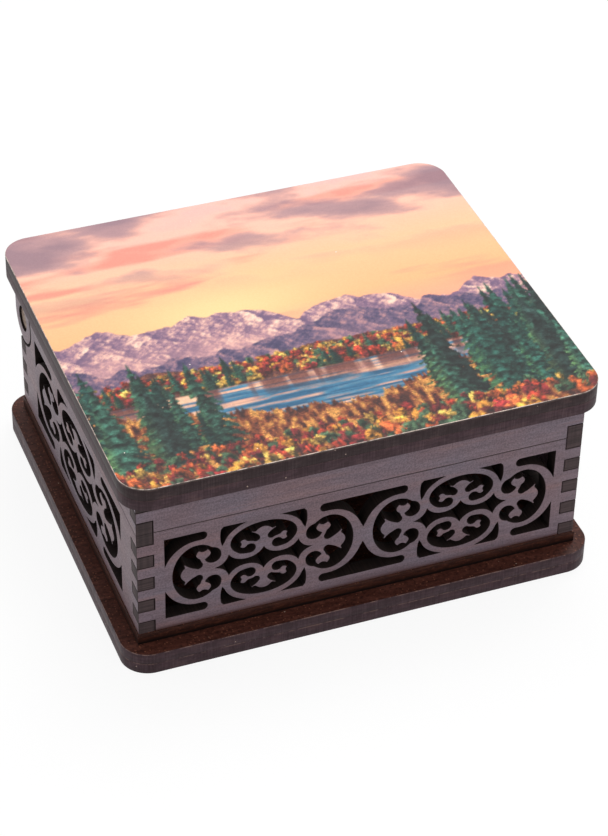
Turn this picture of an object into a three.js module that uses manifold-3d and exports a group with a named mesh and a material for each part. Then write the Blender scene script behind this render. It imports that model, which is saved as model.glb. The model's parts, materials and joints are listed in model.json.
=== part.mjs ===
// Carved trinket box: a plywood box with scroll fretwork walls and a hinged lid with a printed top.
// Millimetres, +Z up, front towards -Y, origin at the middle of the underside.
import * as THREE from 'three';
import { mergeVertices } from 'three/addons/utils/BufferGeometryUtils.js';
import Module from 'manifold-3d';

const wasm = await Module();
wasm.setup();

// Sheet stock
const WALL_T = 4;
const SHEET_T = 3;
const PRINT_T = 0.4;

// Plates
const LID_W = 120;
const LID_D = 106;
const PLATE_R = 7;
const BASE_MARGIN = 0.7;
const FLOOR_MARGIN = 0.3;
const LID_OVER_X = 3.4;
const LID_OVER_Y = 4;

// Heights of the box walls and of the lid's strips
const WALL_H = 30.5;
const STRIP_H = 9.8;

// Clearances
const JOINT_GAP = 0.2;
const PARTING_GAP = 0.3;
const PIN_GAP = 0.25;
const PIN_SEAT_GAP = 0.2;
const EAR_GAP = 0.7;
const EAR_SIDE_GAP = 0.3;
const STRIP_SWEEP_GAP = 0.5;

// Finger joints: number of equal steps along an edge
const WALL_STEPS = 9;
const REAR_STEPS = 6;
const STRIP_STEPS = 5;

// Wooden hinge: a dowel let into each upper corner of the back wall turns in an ear of the lid
const PIN_R = 3.1;
const PIN_L = 11;
const PIN_RECESS = 0.5;
const EAR_RING = 3.4;
const AXIS_DROP = 3.2;
const AXIS_INSET = 3;

// Fretwork windows
const FRONT_MARGIN = 6.8;
const BACK_MARGIN = 12.2;
const SIDE_MARGIN_FRONT = 12.5;
const SIDE_MARGIN_BACK = 13.5;
const WINDOW_RISE = 3.2;
const WINDOW_TOP = 3.1;

// Derived sizes
const BASE_W = LID_W + 2 * BASE_MARGIN;
const BASE_D = LID_D + 2 * BASE_MARGIN;
const BODY_W = LID_W - 2 * LID_OVER_X;
const BODY_D = LID_D - 2 * LID_OVER_Y;
const FLOOR_W = BODY_W + 2 * FLOOR_MARGIN;
const FLOOR_D = BODY_D + 2 * FLOOR_MARGIN;
const BASE_TOP = 2 * SHEET_T;
const FLOOR_TOP = BASE_TOP + SHEET_T;
const PARTING_Z = FLOOR_TOP + WALL_H;
const STRIP_Z = PARTING_Z + PARTING_GAP;
const LID_Z = STRIP_Z + STRIP_H;
const PIN_HOLE_R = PIN_R + PIN_GAP;
const EAR_R = PIN_HOLE_R + EAR_RING;
const NOTCH_R = EAR_R + EAR_GAP;
const AXIS_Y = BODY_D / 2 - AXIS_INSET;
const AXIS_RISE = WALL_H - AXIS_DROP;
const PIN_END = BODY_W / 2 - PIN_RECESS;
const SEAT_INSET = PIN_RECESS + PIN_L + PIN_SEAT_GAP;
const SWEEP_R = Math.hypot(Math.max(AXIS_INSET, WALL_T - AXIS_INSET), Math.max(AXIS_DROP, PIN_R));
const REAR_JOINT_H = AXIS_RISE - NOTCH_R;
const SLOT_DEPTH = WALL_T + JOINT_GAP;
const WINDOW_H = WALL_H - WINDOW_RISE - WINDOW_TOP;

// Scroll pattern on a drawing grid, measured from the centre of one motif.
// The seam to the next motif is at GRID_SEAM, the window's side at GRID_SIDE, its top at GRID_TOP.
const GRID_SEAM = 326;
const GRID_SIDE = 317;
const GRID_TOP = 156;

// C-scroll on the right: its ring and the curl at the ring's upper end.
// The curl's turn, its leaf and the neck beside the leaf are set off from the curl's centre.
const C_RING = { u: 213, v: 0, ru: 80, rv: 106 };
const C_CURL = { u: 164, v: 52, r: 26, turn: 28 };
const C_NECK = { du: 46, dv: -26, r: 13 };
const C_LEAF = { du: 30, dv: -10, angle: Math.PI / 2, size: 24, side: 1 };
const C_HEAD_GAP = 25;

// Upper heart: its ring and the curl at the ring's right end, with its leaf and neck set off alike
const HEART_DROP = 76;
const HEART_RING = { u: 0, v: GRID_TOP - HEART_DROP, ru: 107, rv: 63 };
const HEART_CURL = { u: 44, v: 48, r: 17, turn: 14 };
const HEART_NECK = { du: -19, dv: 35, r: 12 };
const HEART_LEAF = { du: 4, dv: 23, angle: 0, size: 17, side: -1 };
const HEART_HEAD_GAP = 19;

// Widths of the strokes: the C-scroll's side, then the rings
const SIDE_STROKE = 33;
const STROKE = 22;

// Leaf of a curl along and across its length, in leaf sizes; its second side mirrors the first
const LEAF_RATIOS = {
  foot: [0.3, 0.5],
  lobe: [0.75, 1.05],
  cheek: [1.2, 1.02],
  tip: [1.75, 0.55],
  notch: [1.45, 0],
};

// Head of a stem: a dome with two barbs, measured back from its crown and out from the stem
const BARB = { back: 15, out: 40 };
const SHOULDER = { back: 13, out: 26 };

// Cusped hole: its tip set in from the C-scroll's curl, and the round that passes just over the upright axis
const CUSP_INSET = 7;
const HEART_ROUND = { u: 57, v: 62, over: 5, rv: 52 };

// Slot outside the C-scroll, and spandrel set off from the heart's outer side and the window's top
const SLOT_END = { u: 197, r: 14.5 };
const SEAM_TIP = 31;
const SPANDREL = { tip: [5, -72], bulge: [14, -42], shoulder: [8, -9] };
const SPANDREL_ANGLE = 0.06 * Math.PI;

// Halvings that find where two arcs meet
const HALVINGS = 30;

// Facets: half the steps of a scroll's arc and of a round corner, and the sides of a pin
const ARC_DIVISIONS = 3;
const CORNER_DIVISIONS = 5;
const PIN_FACETS = 24;

function gridPoints(path) {
  const tidy = (value) => Math.round(value * 1000) / 1000;
  return path.getPoints(ARC_DIVISIONS).map((point) => [tidy(point.x), tidy(point.y)]);
}

function addLeaf(path, curl, { du, dv, angle, size, side }) {
  const cos = Math.cos(angle) * size;
  const sin = Math.sin(angle) * size;
  const { foot, lobe, cheek, tip, notch } = LEAF_RATIOS;
  const lineTo = ([along, across], half) => {
    const out = across * side * half;
    path.lineTo(curl.u + du + along * cos - out * sin, curl.v + dv + along * sin + out * cos);
  };
  [foot, lobe, cheek, tip, notch].forEach((corner) => lineTo(corner, 1));
  [tip, cheek, lobe, foot].forEach((corner) => lineTo(corner, -1));
}

// Upper half of the hole inside the C-scroll on the right
function cScrollHalf() {
  const path = new THREE.Path();
  const curlSide = C_CURL.u - C_CURL.r;
  path.absellipse(C_RING.u, C_RING.v, C_RING.ru, C_RING.rv, 0, 0.7 * Math.PI, false, 0);
  path.quadraticCurveTo(curlSide, C_CURL.v + C_CURL.turn, curlSide, C_CURL.v);
  path.absarc(C_CURL.u, C_CURL.v, C_CURL.r, Math.PI, 1.9 * Math.PI, false);
  addLeaf(path, C_CURL, C_LEAF);
  const { du, dv, r } = C_NECK;
  path.absarc(C_CURL.u + du, C_CURL.v + dv, r, 0.75 * Math.PI, 1.7 * Math.PI, false);
  const crown = C_RING.u + C_RING.ru - C_HEAD_GAP;
  path.lineTo(crown - BARB.back, BARB.out);
  path.lineTo(crown - SHOULDER.back, SHOULDER.out);
  path.quadraticCurveTo(crown, SHOULDER.out / 2, crown, 0);
  return gridPoints(path);
}

// Right half of the hole inside the upper heart
function heartHalf() {
  const path = new THREE.Path();
  const curlFoot = HEART_CURL.v - HEART_CURL.r;
  const { u, v, ru, rv } = HEART_RING;
  path.absellipse(u, v, ru, rv, 0.5 * Math.PI, -0.25 * Math.PI, true, 0);
  path.quadraticCurveTo(HEART_CURL.u + HEART_CURL.turn, curlFoot, HEART_CURL.u, curlFoot);
  path.absarc(HEART_CURL.u, HEART_CURL.v, HEART_CURL.r, -0.5 * Math.PI, -1.6 * Math.PI, true);
  addLeaf(path, HEART_CURL, HEART_LEAF);
  const { du, dv, r } = HEART_NECK;
  path.absarc(HEART_CURL.u + du, HEART_CURL.v + dv, r, -0.25 * Math.PI, -1.25 * Math.PI, true);
  const crown = HEART_RING.v + HEART_RING.rv - HEART_HEAD_GAP;
  path.lineTo(BARB.out, crown - BARB.back);
  path.lineTo(SHOULDER.out, crown - SHOULDER.back);
  path.quadraticCurveTo(SHOULDER.out / 2, crown, 0, crown);
  return gridPoints(path);
}

// Upper right quarter of the cusped hole: an arc round the C-scroll's curl up to the heart's round
function cuspedQuarter() {
  const path = new THREE.Path();
  const { u, v, over, rv } = HEART_ROUND;
  const ru = u + over;
  const reach = Math.hypot(CUSP_INSET, C_CURL.v);
  const start = Math.atan2(-C_CURL.v, -CUSP_INSET);
  const across = (angle) => (C_CURL.u + reach * Math.cos(angle) - u) / ru;
  const rise = (angle) => (C_CURL.v + reach * Math.sin(angle) - v) / rv;
  let outside = start;
  let inside = -Math.PI;
  for (let i = 0; i < HALVINGS; i += 1) {
    const middle = (outside + inside) / 2;
    if (Math.hypot(across(middle), rise(middle)) > 1) {
      outside = middle;
    } else {
      inside = middle;
    }
  }
  path.absarc(C_CURL.u, C_CURL.v, reach, start, outside, true);
  const meeting = Math.atan2(rise(outside), across(outside));
  path.absellipse(u, v, ru, rv, meeting, Math.acos(u / ru) - Math.PI, true, 0);
  return gridPoints(path);
}

// Upper right spandrel, one stroke outside the heart
function spandrel() {
  const path = new THREE.Path();
  const ru = HEART_RING.ru + STROKE;
  const rv = HEART_RING.rv + STROKE;
  const start = Math.asin((GRID_TOP - HEART_RING.v) / rv);
  path.absellipse(HEART_RING.u, HEART_RING.v, ru, rv, start, SPANDREL_ANGLE, true, 0);
  const side = HEART_RING.u + ru;
  const corner = ([out, rise]) => [side + out, GRID_TOP + rise];
  path.lineTo(...corner(SPANDREL.tip));
  path.quadraticCurveTo(...corner(SPANDREL.bulge), ...corner(SPANDREL.shoulder));
  path.lineTo(side, GRID_TOP);
  return gridPoints(path);
}

// Slot that follows the C-scroll outside, from its rounded end to the window's side
function slot() {
  const path = new THREE.Path();
  const ru = C_RING.ru + SIDE_STROKE;
  const rv = C_RING.rv + STROKE - 1;
  const finish = Math.acos((GRID_SIDE - C_RING.u) / ru);
  path.moveTo(SLOT_END.u, GRID_TOP);
  path.absarc(SLOT_END.u, GRID_TOP - SLOT_END.r, SLOT_END.r, 0.5 * Math.PI, 1.5 * Math.PI, false);
  path.absellipse(C_RING.u, C_RING.v, ru, rv, 0.5 * Math.PI, finish, true, 0);
  return path;
}

function slotAtSide() {
  const path = slot();
  path.lineTo(GRID_SIDE, GRID_TOP);
  return gridPoints(path);
}

function slotAtSeamHalf() {
  const path = slot();
  path.lineTo(GRID_SEAM, SEAM_TIP);
  return gridPoints(path);
}

// Mirrored copy of an open run of points, joined to the run; ends on the mirror line are kept once.
function mirrored(points, axis, at) {
  const copies = points
    .filter((p) => p[axis] !== at)
    .map((p) => (axis === 0 ? [2 * at - p[0], p[1]] : [p[0], 2 * at - p[1]]));
  return [...points, ...copies.reverse()];
}

function flipped(points, signU, signV) {
  return points.map(([u, v]) => [signU * u, signV * v]);
}

// Holes of one motif
function motifHoles() {
  const scroll = mirrored(cScrollHalf(), 1, 0);
  const heart = mirrored(heartHalf(), 0, 0);
  const cusped = mirrored(mirrored(cuspedQuarter(), 0, 0), 1, 0);
  const holes = [scroll, flipped(scroll, -1, 1), heart, flipped(heart, 1, -1), cusped];
  for (const signU of [-1, 1]) {
    for (const signV of [-1, 1]) {
      holes.push(flipped(spandrel(), signU, signV));
    }
  }
  return holes;
}

// Window of one or two motifs, centred on the drawing grid
function windowHoles(motifs) {
  const offset = (motifs - 1) * GRID_SEAM;
  const centres = motifs === 1 ? [0] : [-offset, offset];
  const holes = [];
  for (const centre of centres) {
    holes.push(...motifHoles().map((hole) => hole.map(([u, v]) => [u + centre, v])));
  }
  const atSide = slotAtSide().map(([u, v]) => [u + offset, v]);
  const atSeam = mirrored(slotAtSeamHalf(), 0, GRID_SEAM).map(([u, v]) => [u - offset, v]);
  for (const signV of [-1, 1]) {
    holes.push(flipped(atSide, 1, signV), flipped(atSide, -1, signV));
    if (motifs === 2) {
      holes.push(flipped(atSeam, 1, signV));
    }
  }
  return { holes, halfWidth: GRID_SIDE + offset };
}

// Outlines of the fretwork's holes between two positions along a wall
function fretwork(motifs, from, to) {
  const { holes, halfWidth } = windowHoles(motifs);
  const scaleU = (to - from) / 2 / halfWidth;
  const scaleV = WINDOW_H / 2 / GRID_TOP;
  const midU = (from + to) / 2;
  const midV = WINDOW_RISE + WINDOW_H / 2;
  return holes.map((hole) => new THREE.Shape(
    hole.map(([u, v]) => new THREE.Vector2(midU + u * scaleU, midV + v * scaleV)),
  ));
}

// Finger joint going up an edge: pairs of inset from the outer face and height.
function fingers(steps, height, ownsFirst) {
  const step = height / steps;
  const run = [];
  for (let i = 0; i < steps; i += 1) {
    const owns = (i % 2 === 0) === ownsFirst;
    const trim = owns ? JOINT_GAP / 2 : -JOINT_GAP / 2;
    const low = i === 0 ? 0 : i * step + trim;
    const high = i === steps - 1 ? height : (i + 1) * step - trim;
    const inset = owns ? 0 : SLOT_DEPTH;
    run.push([inset, low], [inset, high]);
  }
  return run;
}

// Symmetric panel with the same joint on both ends
function jointedShape(halfWidth, run) {
  const right = run.map(([inset, z]) => new THREE.Vector2(halfWidth - inset, z));
  const left = run.map(([inset, z]) => new THREE.Vector2(inset - halfWidth, z));
  return new THREE.Shape([...right, ...left.reverse()]);
}

function frontWallShape() {
  return jointedShape(BODY_W / 2, fingers(WALL_STEPS, WALL_H, false));
}

// Each upper corner of the back wall is stepped down for a hinge pin.
function backWallShape() {
  const recess = WALL_T + EAR_SIDE_GAP;
  const run = fingers(REAR_STEPS, REAR_JOINT_H, false);
  run.push([recess, REAR_JOINT_H], [recess, AXIS_RISE], [SEAT_INSET, AXIS_RISE], [SEAT_INSET, WALL_H]);
  return jointedShape(BODY_W / 2, run);
}

// Side wall seen from its outer face with the rear on the right; the notch gives room to the lid's ear.
function sideWallShape() {
  const half = BODY_D / 2;
  const shape = new THREE.Shape();
  const front = fingers(WALL_STEPS, WALL_H, true);
  const rear = fingers(REAR_STEPS, REAR_JOINT_H, true);
  const notchFoot = Math.asin((SLOT_DEPTH - AXIS_INSET) / NOTCH_R);
  const notchTop = Math.asin(AXIS_DROP / NOTCH_R);
  front.reverse().forEach(([inset, z], i) => {
    if (i === 0) {
      shape.moveTo(inset - half, z);
    } else {
      shape.lineTo(inset - half, z);
    }
  });
  rear.slice(0, -1).forEach(([inset, z]) => shape.lineTo(half - inset, z));
  shape.absarc(AXIS_Y, AXIS_RISE, NOTCH_R, -Math.PI / 2 - notchFoot, -Math.PI - notchTop, true);
  return shape;
}

function frontStripShape() {
  return jointedShape(BODY_W / 2, fingers(STRIP_STEPS, STRIP_H, false));
}

// The back strip is lifted off the back wall so that it clears the wall when the lid turns.
function backStripShape() {
  const half = BODY_W / 2 - SLOT_DEPTH;
  const low = AXIS_RISE + SWEEP_R + STRIP_SWEEP_GAP - WALL_H - PARTING_GAP;
  return new THREE.Shape([
    new THREE.Vector2(half, low),
    new THREE.Vector2(half, STRIP_H),
    new THREE.Vector2(-half, STRIP_H),
    new THREE.Vector2(-half, low),
  ]);
}

// Side strip of the lid with the round ear that turns on the hinge pin
function sideStripShape() {
  const half = BODY_D / 2;
  const axisRise = AXIS_RISE - WALL_H - PARTING_GAP;
  const earTop = Math.asin(-axisRise / EAR_R);
  const shape = new THREE.Shape();
  const front = fingers(STRIP_STEPS, STRIP_H, true);
  front.reverse().forEach(([inset, z], i) => {
    if (i === 0) {
      shape.moveTo(inset - half, z);
    } else {
      shape.lineTo(inset - half, z);
    }
  });
  shape.absarc(AXIS_Y, axisRise, EAR_R, Math.PI - earTop, 2 * Math.PI, false);
  shape.lineTo(AXIS_Y + EAR_R, STRIP_H);
  const pinHole = new THREE.Path();
  pinHole.absarc(AXIS_Y, axisRise, PIN_HOLE_R, 0, Math.PI, false);
  pinHole.absarc(AXIS_Y, axisRise, PIN_HOLE_R, Math.PI, 2 * Math.PI, false);
  shape.holes.push(pinHole);
  return shape;
}

function plateShape(width, depth) {
  const x = width / 2 - PLATE_R;
  const y = depth / 2 - PLATE_R;
  const shape = new THREE.Shape();
  shape.absarc(x, y, PLATE_R, 0, Math.PI / 2, false);
  shape.absarc(-x, y, PLATE_R, Math.PI / 2, Math.PI, false);
  shape.absarc(-x, -y, PLATE_R, Math.PI, 1.5 * Math.PI, false);
  shape.absarc(x, -y, PLATE_R, 1.5 * Math.PI, 2 * Math.PI, false);
  return shape;
}

function extruded(shape, depth) {
  return new THREE.ExtrudeGeometry(shape, { depth, bevelEnabled: false, curveSegments: CORNER_DIVISIONS });
}

function solidOf(geometry) {
  const bare = geometry.clone();
  bare.deleteAttribute('normal');
  bare.deleteAttribute('uv');
  const merged = mergeVertices(bare, 1e-5);
  return new wasm.Manifold(new wasm.Mesh({
    numProp: 3,
    vertProperties: Float32Array.from(merged.getAttribute('position').array),
    triVerts: Uint32Array.from(merged.getIndex().array),
  }));
}

function geometryOf(solid) {
  const mesh = solid.getMesh();
  const geometry = new THREE.BufferGeometry();
  geometry.setAttribute('position', new THREE.BufferAttribute(mesh.vertProperties, 3));
  geometry.setIndex(new THREE.BufferAttribute(mesh.triVerts, 1));
  const flat = geometry.toNonIndexed();
  flat.computeVertexNormals();
  return flat;
}

// Panel with holes sawn right through
function pierced(shape, holes) {
  let solid = solidOf(extruded(shape, WALL_T));
  for (const hole of holes) {
    const core = extruded(hole, 3 * WALL_T);
    core.translate(0, 0, -WALL_T);
    solid = solid.subtract(solidOf(core));
  }
  return geometryOf(solid);
}

// Stands a panel up: along is the panel's own direction, out its outer face's normal.
function stood(panel, along, out, reach, z) {
  const basis = new THREE.Matrix4().makeBasis(along, new THREE.Vector3(0, 0, 1), out);
  const inner = out.clone().multiplyScalar(reach - WALL_T);
  basis.setPosition(inner.x, inner.y, z);
  return panel.clone().applyMatrix4(basis);
}

// Mirror image across the middle plane between left and right, with the faces kept outwards
function mirroredX(geometry) {
  const copy = geometry.clone();
  const position = copy.getAttribute('position');
  for (let i = 0; i < position.count; i += 3) {
    const corners = [0, 1, 2].map((k) => new THREE.Vector3().fromBufferAttribute(position, i + k));
    [0, 2, 1].forEach((from, k) => {
      const corner = corners[from];
      position.setXYZ(i + k, -corner.x, corner.y, corner.z);
    });
  }
  copy.computeVertexNormals();
  return copy;
}

const FRONT = new THREE.Vector3(0, -1, 0);
const BACK = new THREE.Vector3(0, 1, 0);
const LEFT = new THREE.Vector3(-1, 0, 0);
const RIGHT = new THREE.Vector3(1, 0, 0);

const box = new THREE.Group();
box.name = 'carved_trinket_box';

function addPiece(name, geometry, color, roughness) {
  const material = new THREE.MeshStandardMaterial({ color, roughness });
  material.name = `${name}_finish`;
  const mesh = new THREE.Mesh(geometry, material);
  mesh.name = name;
  box.add(mesh);
}

function addSheet(name, width, depth, z, thickness, color, roughness) {
  const geometry = extruded(plateShape(width, depth), thickness);
  geometry.translate(0, 0, z);
  addPiece(name, geometry, color, roughness);
}

const STAIN = 0x4a3a3c;
const STAIN_DARK = 0x2e1f1c;
const PIN_COLOUR = 0x6b5548;
const PRINT_COLOUR = 0xe0a88c;

// Base of two sheets
addSheet('base_lower_sheet', BASE_W, BASE_D, 0, SHEET_T, STAIN_DARK, 0.4);
addSheet('base_upper_sheet', BASE_W, BASE_D, SHEET_T, SHEET_T, STAIN_DARK, 0.3);

// Square-cornered floor that carries the walls
const floor = new THREE.BoxGeometry(FLOOR_W, FLOOR_D, SHEET_T);
floor.translate(0, 0, BASE_TOP + SHEET_T / 2);
addPiece('floor_sheet', floor, STAIN_DARK, 0.4);

// Hinge pins and their seats in the back wall
function hingePin(radius, length, x) {
  const pin = new THREE.CylinderGeometry(radius, radius, length, PIN_FACETS);
  pin.rotateZ(Math.PI / 2);
  pin.translate(x, AXIS_Y, FLOOR_TOP + AXIS_RISE);
  return pin;
}

function seated(wall) {
  let solid = solidOf(wall);
  for (const side of [-1, 1]) {
    const seat = hingePin(PIN_R + PIN_SEAT_GAP, SEAT_INSET, side * (BODY_W - SEAT_INSET) / 2);
    solid = solid.subtract(solidOf(seat));
  }
  return geometryOf(solid);
}

const pinX = PIN_END - PIN_L / 2;
addPiece('hinge_pin_left', hingePin(PIN_R, PIN_L, -pinX), PIN_COLOUR, 0.7);
addPiece('hinge_pin_right', hingePin(PIN_R, PIN_L, pinX), PIN_COLOUR, 0.7);

// Walls of the box
const frontFretwork = fretwork(2, -BODY_W / 2 + FRONT_MARGIN, BODY_W / 2 - FRONT_MARGIN);
const backFretwork = fretwork(2, -BODY_W / 2 + BACK_MARGIN, BODY_W / 2 - BACK_MARGIN);
const sideFretwork = fretwork(1, -BODY_D / 2 + SIDE_MARGIN_FRONT, BODY_D / 2 - SIDE_MARGIN_BACK);
const frontPanel = pierced(frontWallShape(), frontFretwork);
const backPanel = pierced(backWallShape(), backFretwork);
const sidePanel = pierced(sideWallShape(), sideFretwork);
const rightWall = stood(sidePanel, BACK, RIGHT, BODY_W / 2, FLOOR_TOP);
addPiece('front_wall', stood(frontPanel, RIGHT, FRONT, BODY_D / 2, FLOOR_TOP), STAIN, 0.6);
addPiece('back_wall', seated(stood(backPanel, LEFT, BACK, BODY_D / 2, FLOOR_TOP)), STAIN, 0.6);
addPiece('left_wall', mirroredX(rightWall), STAIN, 0.6);
addPiece('right_wall', rightWall, STAIN, 0.6);

// Strips under the lid
const frontStrip = extruded(frontStripShape(), WALL_T);
const backStrip = extruded(backStripShape(), WALL_T);
const sideStrip = extruded(sideStripShape(), WALL_T);
const rightStrip = stood(sideStrip, BACK, RIGHT, BODY_W / 2, STRIP_Z);
addPiece('lid_front_strip', stood(frontStrip, RIGHT, FRONT, BODY_D / 2, STRIP_Z), STAIN, 0.6);
addPiece('lid_back_strip', stood(backStrip, LEFT, BACK, BODY_D / 2, STRIP_Z), STAIN, 0.6);
addPiece('lid_left_strip', mirroredX(rightStrip), STAIN, 0.6);
addPiece('lid_right_strip', rightStrip, STAIN, 0.6);

// Lid of two sheets and the printed sheet on top
addSheet('lid_lower_sheet', LID_W, LID_D, LID_Z, SHEET_T, STAIN_DARK, 0.5);
addSheet('lid_upper_sheet', LID_W, LID_D, LID_Z + SHEET_T, SHEET_T, STAIN_DARK, 0.5);
addSheet('lid_print', LID_W, LID_D, LID_Z + 2 * SHEET_T, PRINT_T, PRINT_COLOUR, 0.2);

export default box;
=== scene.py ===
import json
import math

import bmesh
import bpy
import numpy as np
from mathutils import Matrix, Vector
from mathutils.geometry import delaunay_2d_cdt


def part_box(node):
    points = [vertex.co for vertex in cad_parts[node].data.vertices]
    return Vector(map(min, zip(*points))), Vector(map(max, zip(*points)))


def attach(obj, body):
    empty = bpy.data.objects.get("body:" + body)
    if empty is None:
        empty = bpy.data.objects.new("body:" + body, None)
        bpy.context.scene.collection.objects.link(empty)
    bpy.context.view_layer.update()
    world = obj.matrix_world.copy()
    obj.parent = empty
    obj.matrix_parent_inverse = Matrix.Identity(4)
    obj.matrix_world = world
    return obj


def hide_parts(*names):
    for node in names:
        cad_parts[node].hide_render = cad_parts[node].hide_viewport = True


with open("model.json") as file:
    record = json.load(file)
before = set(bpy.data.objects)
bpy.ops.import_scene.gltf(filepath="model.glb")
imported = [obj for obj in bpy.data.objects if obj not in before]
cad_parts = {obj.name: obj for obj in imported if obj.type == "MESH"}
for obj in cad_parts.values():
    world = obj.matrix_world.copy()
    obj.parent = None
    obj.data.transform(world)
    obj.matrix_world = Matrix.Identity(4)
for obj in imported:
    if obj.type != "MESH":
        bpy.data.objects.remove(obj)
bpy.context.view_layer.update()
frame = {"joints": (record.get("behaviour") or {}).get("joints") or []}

MM = 0.001


def corners(node):
    """Lowest and highest corner of a CAD node."""
    return [np.array(corner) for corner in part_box(node)]


# Sizes taken from the frame
WALL_LOW, WALL_HIGH = corners("front_wall")
STRIP_LOW, STRIP_HIGH = corners("lid_front_strip")
BACK_STRIP_LOW, BACK_STRIP_HIGH = corners("lid_back_strip")
PIN_LOW, PIN_HIGH = corners("hinge_pin_right")
WALL_T = WALL_HIGH[1] - WALL_LOW[1]
BODY_HALF_X = WALL_HIGH[0]
BODY_HALF_Y = corners("right_wall")[1][1]
WALL_Z = WALL_LOW[2]
WALL_H = WALL_HIGH[2] - WALL_LOW[2]
STRIP_Z = STRIP_LOW[2]
STRIP_H = STRIP_HIGH[2] - STRIP_LOW[2]
HINGE = frame["joints"][0]
AXIS_Y = HINGE["pos_m"][1]
AXIS_Z = HINGE["pos_m"][2]
PIN_R = (PIN_HIGH[2] - PIN_LOW[2]) / 2
EAR_R = AXIS_Z - corners("lid_right_strip")[0][2]

# Plates, finger joints and clearances
PLATE_R = 7 * MM
JOINT_GAP = 0.2 * MM
WALL_STEPS = 9
REAR_STEPS = 6
SLOT_DEPTH = WALL_T + JOINT_GAP

# Lid strips: steps of their front joints, and how far they reach down towards the walls
STRIP_STEPS = 3
STRIP_REACH = 0.24 * MM

# Ears of the lid, the notches beside them, and the pins with their seats in the back wall
EAR_GAP = 0.7 * MM
EAR_SIDE_GAP = 0.3 * MM
EAR_RECESS = WALL_T + EAR_SIDE_GAP
NOTCH_R = EAR_R + EAR_GAP
REAR_JOINT_H = AXIS_Z - WALL_Z - NOTCH_R
PIN_GAP = 0.25 * MM
PIN_ARRIS = 0.25 * MM
PIN_SEAT_GAP = 0.2 * MM
SEAT_INSET = BODY_HALF_X - PIN_LOW[0] + PIN_SEAT_GAP
SEAT_R = PIN_R + PIN_SEAT_GAP
SEAT_SINK = 0.3 * MM
SEAT_SKIN = 0.01 * MM

# Fretwork windows: their margins on each wall
FRONT_MARGIN = 6.8 * MM
BACK_MARGIN = 12.2 * MM
SIDE_MARGIN_FRONT = 12.5 * MM
SIDE_MARGIN_BACK = 13.5 * MM
WINDOW_RISE = 3.2 * MM
WINDOW_TOP = 3.1 * MM

# Scroll pattern on a drawing grid, measured from the centre of one motif, with angles in half turns
GRID_SEAM = 326
GRID_SIDE = 317
GRID_TOP = 156
STROKE = 22
SIDE_STROKE = 33
SLOT_TRIM = 1
C_RING = dict(u=213, v=0, ru=80, rv=106)
C_CURL = dict(u=164, v=52, r=26, start=1, end=1.9)
C_SCROLL = dict(ring=C_RING, span=(0, 0.7), turn=(0, 28), throat=(3, -4), head_gap=25, axis=1,
                curl=C_CURL,
                leaf_at=dict(du=30, dv=-10, angle=0.5, size=24, side=1),
                neck=dict(du=46, dv=-26, r=13, start=0.75, end=1.7))
HEART_RING = dict(u=0, v=80, ru=107, rv=63)
HEART = dict(ring=HEART_RING, span=(0.5, -0.25), turn=(14, 0), throat=(-3, 3), head_gap=19, axis=0,
             curl=dict(u=44, v=48, r=17, start=-0.5, end=-1.6),
             leaf_at=dict(du=4, dv=23, angle=0, size=17, side=-1),
             neck=dict(du=-19, dv=35, r=12, start=-0.25, end=-1.25))
LEAF_FOOT = (0.3, 0.5)
LEAF_LOBE = (0.95, 1.48)
LEAF_TIP = (1.75, 0.55)
LEAF_LIP = (1.5, 0.45)
LEAF_NOTCH = (1.45, 0)
BARB = dict(back=15, out=40)
BARB_WIDTH = (5, -1)
SHOULDER = dict(back=13, out=26)
HOOK = (-3, 4)
CUSP_INSET = 7
HEART_ROUND = dict(u=57, v=62, ru=62, rv=52)
SLOT_END = dict(u=197, v=141.5, r=14.5, start=0.5, end=1.5)
SEAM_TIP = 31
SPANDREL = dict(tip=(134, 84), bulge=(143, 114), shoulder=(137, 147), corner=129, angle=0.06)

# Fineness of the outlines, the rounded arrises, and limits of the mesh work
RING_STEPS = 26
CURL_STEPS = 16
BEND_STEPS = 7
NOTCH_STEPS = 4
CORNER_STEPS = 18
HALVINGS = 30
ARRIS_STEPS = 3
ARRIS_R = 0.1 * MM
MITRE_LIMIT = 0.45
SHARP_ANGLE = math.radians(20)
SAME_POINT = 1e-6
TINY = 1e-9

# Blender's numbers: triangles kept inside an outline, and the colour sockets of the Mix node
CDT_INSIDE = 1
MIX_INPUTS = (0, 6, 7)
MIX_RESULT = 2

# Finishes, with grain, lines and plies as counts per metre along and across
BUMP_DEPTH = 0.1 * MM
SPECK_SHARE = 0.72
GRAIN_ALONG = 160
GRAIN_ACROSS = 1500
# Height over the walls' foot of the painted reflection of the red-brown ledge
LEDGE_REFLECTION_HEIGHT = 2.0 * MM
BURNT_LINES = (60, 2600)
PLY_BANDS = (900, 25)
PLY_WAVER = 0.16
PLIES = ((0.0, 0.2), (0.1, 0.85), (0.32, 0.8), (0.38, 0.6), (0.44, 0.9), (0.68, 0.85), (0.74, 0.65),
         (0.8, 0.9), (1.0, 0.75))

# Sheets with their bodies, and the tones of the plates' edges with the wear of their upper arrises
PLATES = {"base_lower_sheet": "box", "base_upper_sheet": "box", "lid_lower_sheet": "lid",
          "lid_upper_sheet": "lid", "floor_sheet": "box"}
SOOTY_EDGE = (42, 32, 32), (52, 41, 42), (64, 52, 53)
STAINED_EDGE = (56, 40, 45), (66, 49, 54), (78, 60, 66)
EDGE_TONES = {"base_lower_sheet": (STAINED_EDGE, 0.5), "base_upper_sheet": (STAINED_EDGE, 0.75),
              "lid_lower_sheet": (STAINED_EDGE, 0.1), "lid_upper_sheet": (SOOTY_EDGE, 0.2)}

# Printed sheet: points of its mesh, samples between them, and its rounded rim
PRINT_COLUMNS = 330
PRINT_ROWS = 246
PRINT_CORNER_ROWS = 20
PRINT_SAMPLES = 3
RIM_R = 0.12 * MM

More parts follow.
